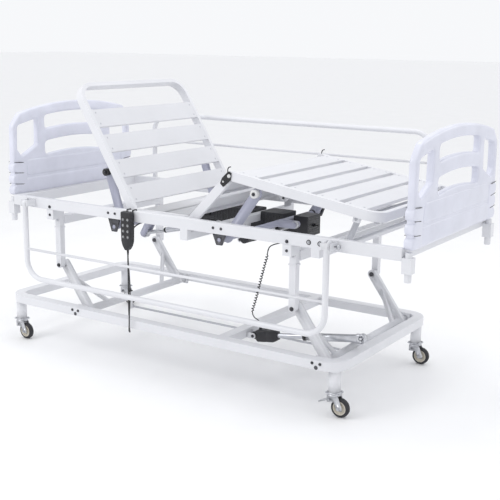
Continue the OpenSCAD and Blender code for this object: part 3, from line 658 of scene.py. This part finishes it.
def make_section_actuator(name, place, tube_len):
    """Linear actuator: finned gear housing, side motor with end cap, drawn tube with a wiper ring."""
    shell = Shape(place)
    profile = rounded([(-.0185, -.0235), (.0185, -.0235), (.0185, .0215), (-.0185, .0215)], [.006] * 4, 4)
    steps = ((.0145, .90), (.0165, .99), (.040, 1.0), (.042, .95), (.045, .95), (.047, 1.0), (.072, 1.0),
             (.086, .98), (.0985, .74))
    shell.stack([[(x, y * k, z * k) for y, z in profile] for x, k in steps])
    shell.lathe([(-.010, .0085), (-.008, .0098), (.008, .0098), (.010, .0085)], (0, 0, 0), Y, 32)
    shell.box((0, -.0115, -.0095), (.0150, .0115, .0095))
    shell.lathe([(0, .0205), (.030, .0208), (.031, .0198), (.034, .0198), (.035, .0208), (.055, .0208),
                 (.0615, .0170)], (.058, -.0182, -.002), -Y, 40)
    shell.piece(name + "_housing", name, BLACK, "black_housing", 0, [name], 40)
    tube = Shape(place)
    tube.lathe([(0, .0128), (tube_len - .010, .0128)], (.098, 0, 0), X, 36)
    tube.piece(name + "_tube", name, TUBE, "actuator_tube", 0)
    ring = Shape(place)
    ring.ring([(0, .0093), (0, .0126), (.002, .0129), (.010, .0129), (.012, .0118), (.012, .0093)],
              (.088 + tube_len, 0, 0), X, 36)
    ring.piece(name + "_wiper", name, GLOSS_BLACK, "black_housing", 0)
    bolts = Shape(place)
    for s in (-1, 1):
        bolts.hex_bolt((0, s * .0258, 0), Y * s, .0052)
    bolts.lathe([(-.0258, .0049), (.0258, .0049)], (0, 0, 0), Y, 24)
    bolts.piece(name + "_pin", name, BOLT, "dark_bolt_steel", 0)


make_section_actuator("back_actuator", along((-.018, .662), (-.425, .57006), -.150), .195)
make_section_actuator("knee_actuator", along((0, .560), (.285, .660), .050), .110)


def make_lift_motor():
    """Lift actuator: tapered black gear housing with a side motor, steel tube and cable gland."""
    place = along((.262, .208), (.780, .287), -.230)
    shell = Shape(place)
    profile = rounded([(-.0255, -.0265), (.0255, -.0265), (.0255, .0265), (-.0255, .0265)], [.008] * 4, 4)
    steps = ((-.0135, .50), (.006, .62), (.020, .97), (.024, 1.0), (.066, 1.0), (.068, .96), (.071, .96),
             (.073, 1.0), (.100, 1.0), (.112, .86), (.1195, .58))
    shell.stack([[(x, y * k, z * k) for y, z in profile] for x, k in steps])
    shell.lathe([(0, .0245), (.034, .0248), (.035, .0236), (.038, .0236), (.039, .0248), (.050, .0245),
                 (.0595, .0195)], (.040, .0255, -.002), Y, 44)
    shell.lathe([(0, .0080), (.003, .0080), (.004, .0066), (.0068, .0060)], (.030, 0, .0266), Z, 28)
    shell.piece("lift_motor_housing", "lift_motor", BLACK, "black_housing", 0, ["lift_motor"], 40)
    tube = Shape(place).lathe([(0, .0109), (.281, .0109), (.283, .0100)], (.117, 0, 0), X, 36)
    tube.piece("lift_motor_tube", "lift_motor", TUBE, "actuator_tube", 0)
    ends = Shape(place)
    ends.lathe([(-.0258, .0049), (.0258, .0049)], (0, 0, 0), Y, 24)
    for s in (-1, 1):
        ends.hex_bolt((0, s * .0258, 0), Y * s, .0055)
    ends.piece("lift_motor_pin", "lift_motor", BOLT, "dark_bolt_steel", 0)
    collar = Shape(place).ring([(0, .0172), (.001, .0180), (.012, .0180), (.013, .0172)], (.249, 0, 0), X, 40)
    collar.piece("lift_sleeve_collar", "lift_sleeve", GLOSS_BLACK, "black_housing", 0)


make_lift_motor()


# ---------- control box ----------

def make_control_box():
    """Long black box with cooling ribs, notches for the seat bar and the knee shaft, and two cable glands."""
    x0, x1, y0, y1, z0, z1 = -.3295, .3045, .1305, .2495, .5905, .6855
    shell = Shape()
    parts = [((x0, y0, z0), (.0045, y1, z1)), ((.0035, y0, z0), (.0465, y1, .6395)),
             ((.0455, y0, z0), (.1715, y1, z1)), ((.1705, y0, z0), (.2295, y1, .6315)),
             ((.2285, y0, z0), (x1, y1, z1))]
    for a, b in parts:
        shell.box(a, b)
    shell.piece("control_box_shell", "upper_frame", BLACK, "black_housing", .0022, ["control_box"])
    ribs = Shape()
    for k in range(17):
        x = -.310 + .017 * k
        if x < -.272 or x > -.232:
            ribs.box((x, y0 - .0004, z0 + .012), (x + .006, y0 + .0012, z1 - .010))
    for k in range(6):
        x = .062 + .017 * k
        ribs.box((x, y0 - .0004, z0 + .012), (x + .006, y0 + .0012, z1 - .010))
    for k in range(7):
        z = z0 + .014 + .011 * k
        ribs.box((x1 - .0008, y0 + .010, z), (x1 + .0004, y1 - .010, z + .005))
    ribs.piece("control_box_ribs", "upper_frame", GLOSS_BLACK, "black_housing", .0004)
    glands = Shape()
    glands.lathe([(0, .0078), (.004, .0078), (.0045, .0070), (.0095, .0062)], (-.250, y0, .640), -Y, 24)
    glands.lathe([(0, .0078), (.005, .0078), (.0055, .0070), (.0115, .0062)], (x1, .190, .640), X, 24)
    glands.piece("control_box_glands", "upper_frame", GLOSS_BLACK, "black_housing", 0)


make_control_box()


# ---------- hinges, bolts and small fittings ----------

def sloped(x, z, down):
    """Frame at a section's hinge: Z up through its surface, X falling by down degrees."""
    return Matrix.Translation((x, 0, z)) @ Matrix.Rotation(radians(down), 4, "Y")


ON_BACK = sloped(-.295, .715, 58)
ON_THIGH = sloped(.025, .715, -46.4)
ON_CALF = sloped(.22775, .92791, 8.6)


def make_knee_plates():
    """Black knee plates with two pale bolts and a small hook at the top."""
    shells, bolts = Shape(ON_THIGH), Shape(ON_THIGH)
    outline = rounded([(.312, .002), (.304, .017), (.262, .019), (.238, .010), (.238, -.012), (.286, -.017)],
                      [.008, .006, .006, .004, .004, .008])
    for s in (-1, 1):
        low = .3912 if s > 0 else -.3948
        shells.prism(outline, (0, low + .0036, 0), X, Z, .0036)
        shells.lathe([(0, .0055), (.026, .0055)], (.294, s * .3662, 0), Y * s, 24)
        bolts.hex_bolt((.294, s * .3950, 0), Y * s, .0062)
        bolts.hex_bolt((.256, s * .3950, .003), Y * s, .0040, False)
        hook = smooth_line([(.298, s * .3940, .012), (.308, s * .3940, .023), (.319, s * .3940, .026),
                            (.328, s * .3940, .021)], .003)
        shells.tube(hook, .0024, 10)
    shells.piece("knee_plates", "thigh", GLOSS_BLACK, "black_housing", .0005, ["knee_hinge_plates"])
    bolts.piece("knee_bolts", "thigh", NYLON, "white_roller", 0)


make_knee_plates()


def make_frame_bolts():
    """Bolt heads on the bed frame, its stands, the side rail brackets and the base."""
    dark, white, rings = Shape(), Shape(), Shape()
    for s in SIDES.values():
        out = Y * s
        for x in (-.765, .540):
            dark.hex_bolt((x, s * .4402, .700), out, .0060)
            dark.hex_bolt((x, s * .4402, .662), out, .0050)
            dark.hex_bolt((x, s * .3922, .410), out, .0075)
            white.hex_bolt((x, s * .3922, .630), out, .0050)
        for x in (-.380, .200):
            dark.hex_bolt((x - .020, s * .4402, .712), out, .0048)
            dark.hex_bolt((x + .020, s * .4402, .712), out, .0048)
        for x in (.640, .690):
            rings.ring([(0, .0105), (.0016, .0098), (.0016, .0072), (0, .0072)], (x, s * .4402, .709), out, 32)
            white.hex_bolt((x, s * .4402, .709), out, .0052, False)
        for x in (-.880, .745):
            for dx in (-.0165, .0165):
                white.hex_bolt((x + dx, s * .4502, .7265), out, .0034, False)
        for x in (-.295, .025):
            dark.hex_bolt((x, s * .4060, .715), out, .0062, False)
    dark.piece("frame_bolts_dark", "upper_frame", BOLT, "dark_bolt_steel", 0)
    white.piece("frame_bolts_pale", "upper_frame", ZINC, "zinc_plate", 0)
    rings.piece("frame_bolt_rings", "upper_frame", GLOSS_BLACK, "black_housing", 0)
    base = Shape()
    for s in SIDES.values():
        for x in (-.615, .690):
            base.hex_bolt((x - .018, s * .4452, .222), Y * s, .0052)
            base.hex_bolt((x + .018, s * .4452, .222), Y * s, .0052)
            base.lathe([(0, .0085), (.0012, .0085), (.0020, .0070)], (x, s * .4450, .205), Y * s, 24)
    base.piece("base_bolts", "base", BOLT, "dark_bolt_steel", 0)


make_frame_bolts()


LEVER_LEN = .249            # from a drive shaft to its rollers' axle


def make_lever_details():
    """Roller bolts and set collars on the two drive shafts."""
    for body, at, angle in (("back_shaft", (-.380, .648), 108.5), ("knee_shaft", (.200, .660), 54.3)):
        pin = (at[0] + LEVER_LEN * cos(radians(angle)), at[1] + LEVER_LEN * sin(radians(angle)))
        details = Shape()
        for s in SIDES.values():
            details.hex_bolt((pin[0], s * .3900, pin[1]), Y * s, .0058)
            details.hex_bolt((pin[0], s * .3558, pin[1]), -Y * s, .0056)
            details.ring([(0, .0142), (.001, .0185), (.009, .0185), (.010, .0142)],
                         (at[0], s * .345, at[1]), Y * s, 36)
        details.piece(body + "_fittings", body, BOLT, "dark_bolt_steel", 0)


make_lever_details()


def slat_rivets(name, body, place, slats, first, pitch, edges, towards=1):
    """Two rivets at each end of each slat; edges are their distances into the slat."""
    rivets = Shape(place)
    for i in range(slats):
        for s in (-1, 1):
            for dx in edges:
                rivets.lathe([(0, .0046), (.0008, .0044), (.0016, .0026)],
                             (towards * (first + pitch * i + dx), s * .352, .0190), Z, 20)
    rivets.piece(name, body, PALE_GREY, "powder_coat_white", 0)


slat_rivets("calf_slat_rivets", "calf", ON_CALF, 5, .024, .126, (.018, .080))
slat_rivets("back_slat_rivets", "backrest", ON_BACK, 4, .040, .128, (.016, .072), -1)
slat_rivets("thigh_slat_rivets", "thigh", ON_THIGH, 2, .030, .122, (.018, .080))


def make_stay_grip():
    """Ribbed red grip on the stay's handle."""
    stay = ON_CALF @ sloped(.590, -.030, 104)
    grip = Shape(stay @ sloped(.020, .078, -63))
    profile = [(.0122, .0048), (.0130, .0062)]
    for k in range(4):
        z = .0165 + .0050 * k
        profile += [(z - .0015, .0064), (z - .0008, .0056), (z + .0008, .0056), (z + .0015, .0064)]
    profile += [(.0360, .0062), (.0378, .0045)]
    grip.lathe(profile, (0, 0, 0), Z, 28)
    grip.piece("stay_red_grip", "calf_stay", RED, "red_grip", 0, ["stay_grip"], 40)


make_stay_grip()


# ---------- light, floor and finish ----------

def add_light(name, at, towards, size, power):
    data = bpy.data.lights.new(name, "AREA")
    data.shape = "RECTANGLE"
    data.size, data.size_y = size
    data.energy = power
    lamp = bpy.data.objects.new(name, data)
    lamp.location = at
    lamp.rotation_mode = "QUATERNION"
    lamp.rotation_quaternion = (Vector(towards) - Vector(at)).to_track_quat("-Z", "Y")
    bpy.context.scene.collection.objects.link(lamp)


def make_studio():
    """Pale floor and soft light from above, the front left and behind."""
    scene = bpy.context.scene
    scene.view_settings.view_transform = "Standard"
    world = bpy.data.worlds.new("studio")
    world.use_nodes = True
    world.node_tree.nodes["Background"].inputs["Color"].default_value = (0.97, 0.98, 1.0, 1)
    world.node_tree.nodes["Background"].inputs["Strength"].default_value = 0.96
    scene.world = world
    add_light("key", (-2.2, -3.2, 3.4), (0, 0, .5), (2.0, 2.0), 46)
    add_light("top", (.4, .2, 3.6), (0, 0, .6), (2.6, 1.8), 22)
    add_light("rim", (2.6, 2.8, 2.2), (0, 0, .6), (1.6, 1.4), 10)
    floor = Shape().prism([(-60, -60), (60, -60), (60, 60), (-60, 60)], (0, 0, -.004), X, Y, .004)
    bmesh.ops.recalc_face_normals(floor.bm, faces=floor.bm.faces[:])
    mesh = bpy.data.meshes.new("floor")
    floor.bm.to_mesh(mesh)
    floor.bm.free()
    g = Graph("pale_floor")
    g.link(g.ramp(g.noise(3, 2), (.93, .93, .935), (.95, .95, .955)), g.shader.inputs["Base Color"])
    g.rough(g.noise(12, 2), .55, .7)
    mesh.materials.append(g.material)
    ground = bpy.data.objects.new("floor", mesh)
    scene.collection.objects.link(ground)


make_studio()
